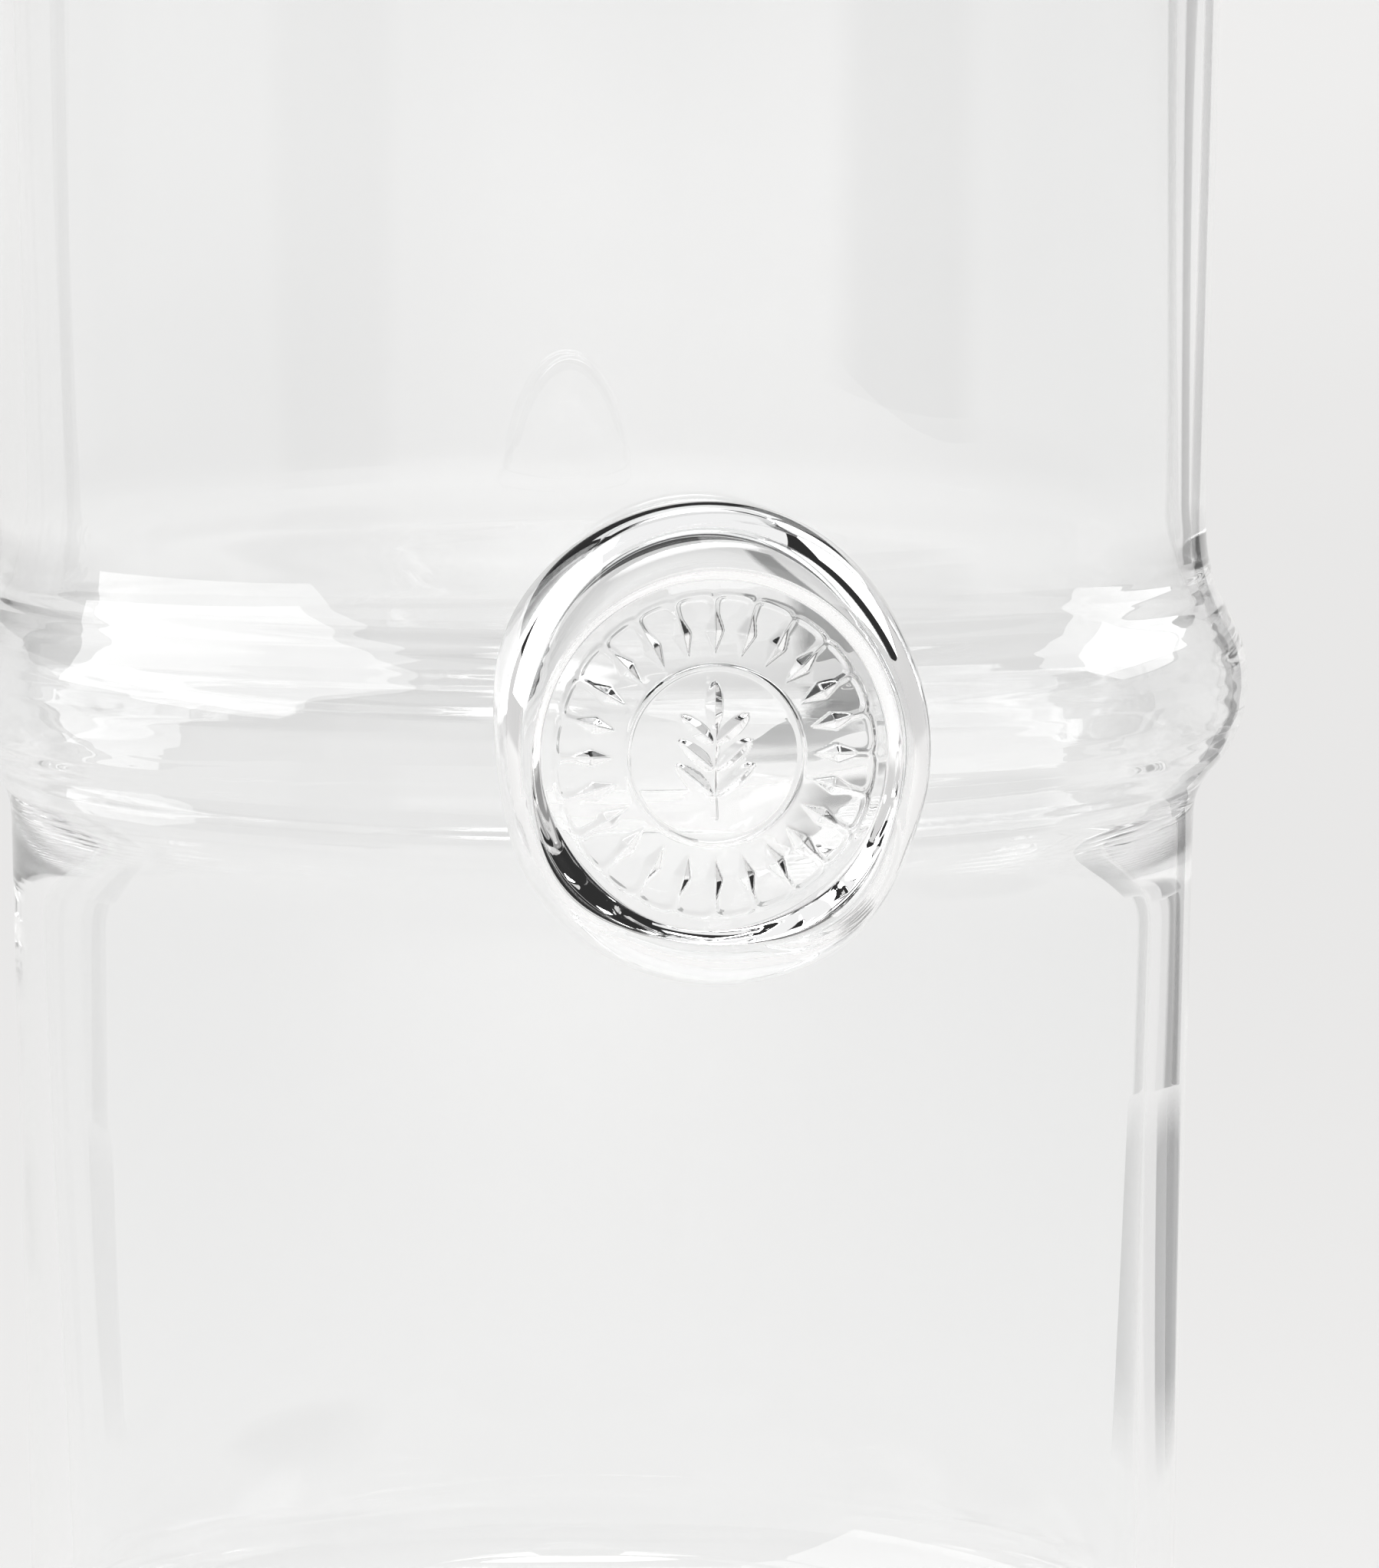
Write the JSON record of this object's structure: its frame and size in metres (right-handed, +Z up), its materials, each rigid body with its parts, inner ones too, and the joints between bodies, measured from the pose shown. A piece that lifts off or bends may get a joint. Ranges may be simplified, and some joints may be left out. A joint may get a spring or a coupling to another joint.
{
  "type": "mixing glass",
  "caption": "Tall clear blown mixing glass with a hollow ring round its middle, a stamped glass seal on the front and a pulled pouring lip.",
  "frame": {"origin": "on the body's axis, at the surface that the glass stands on", "axes": "+Z up along the body's axis, -Y towards the front, where the seal is, -X towards the pouring lip"},
  "size_m": [0.0988, 0.0979, 0.1658],
  "materials": {
    "vessel_glass": "clear blown soda-lime glass, fire-polished, with faint waves and a few tiny seeds",
    "seal_glass": "clear glass stamped while hot, smooth, with a rounded lip and a crisp relief"
  },
  "bodies": {
    "root": {"vessel": "vessel_glass", "seal": "seal_glass"}
  },
  "joints": []
}
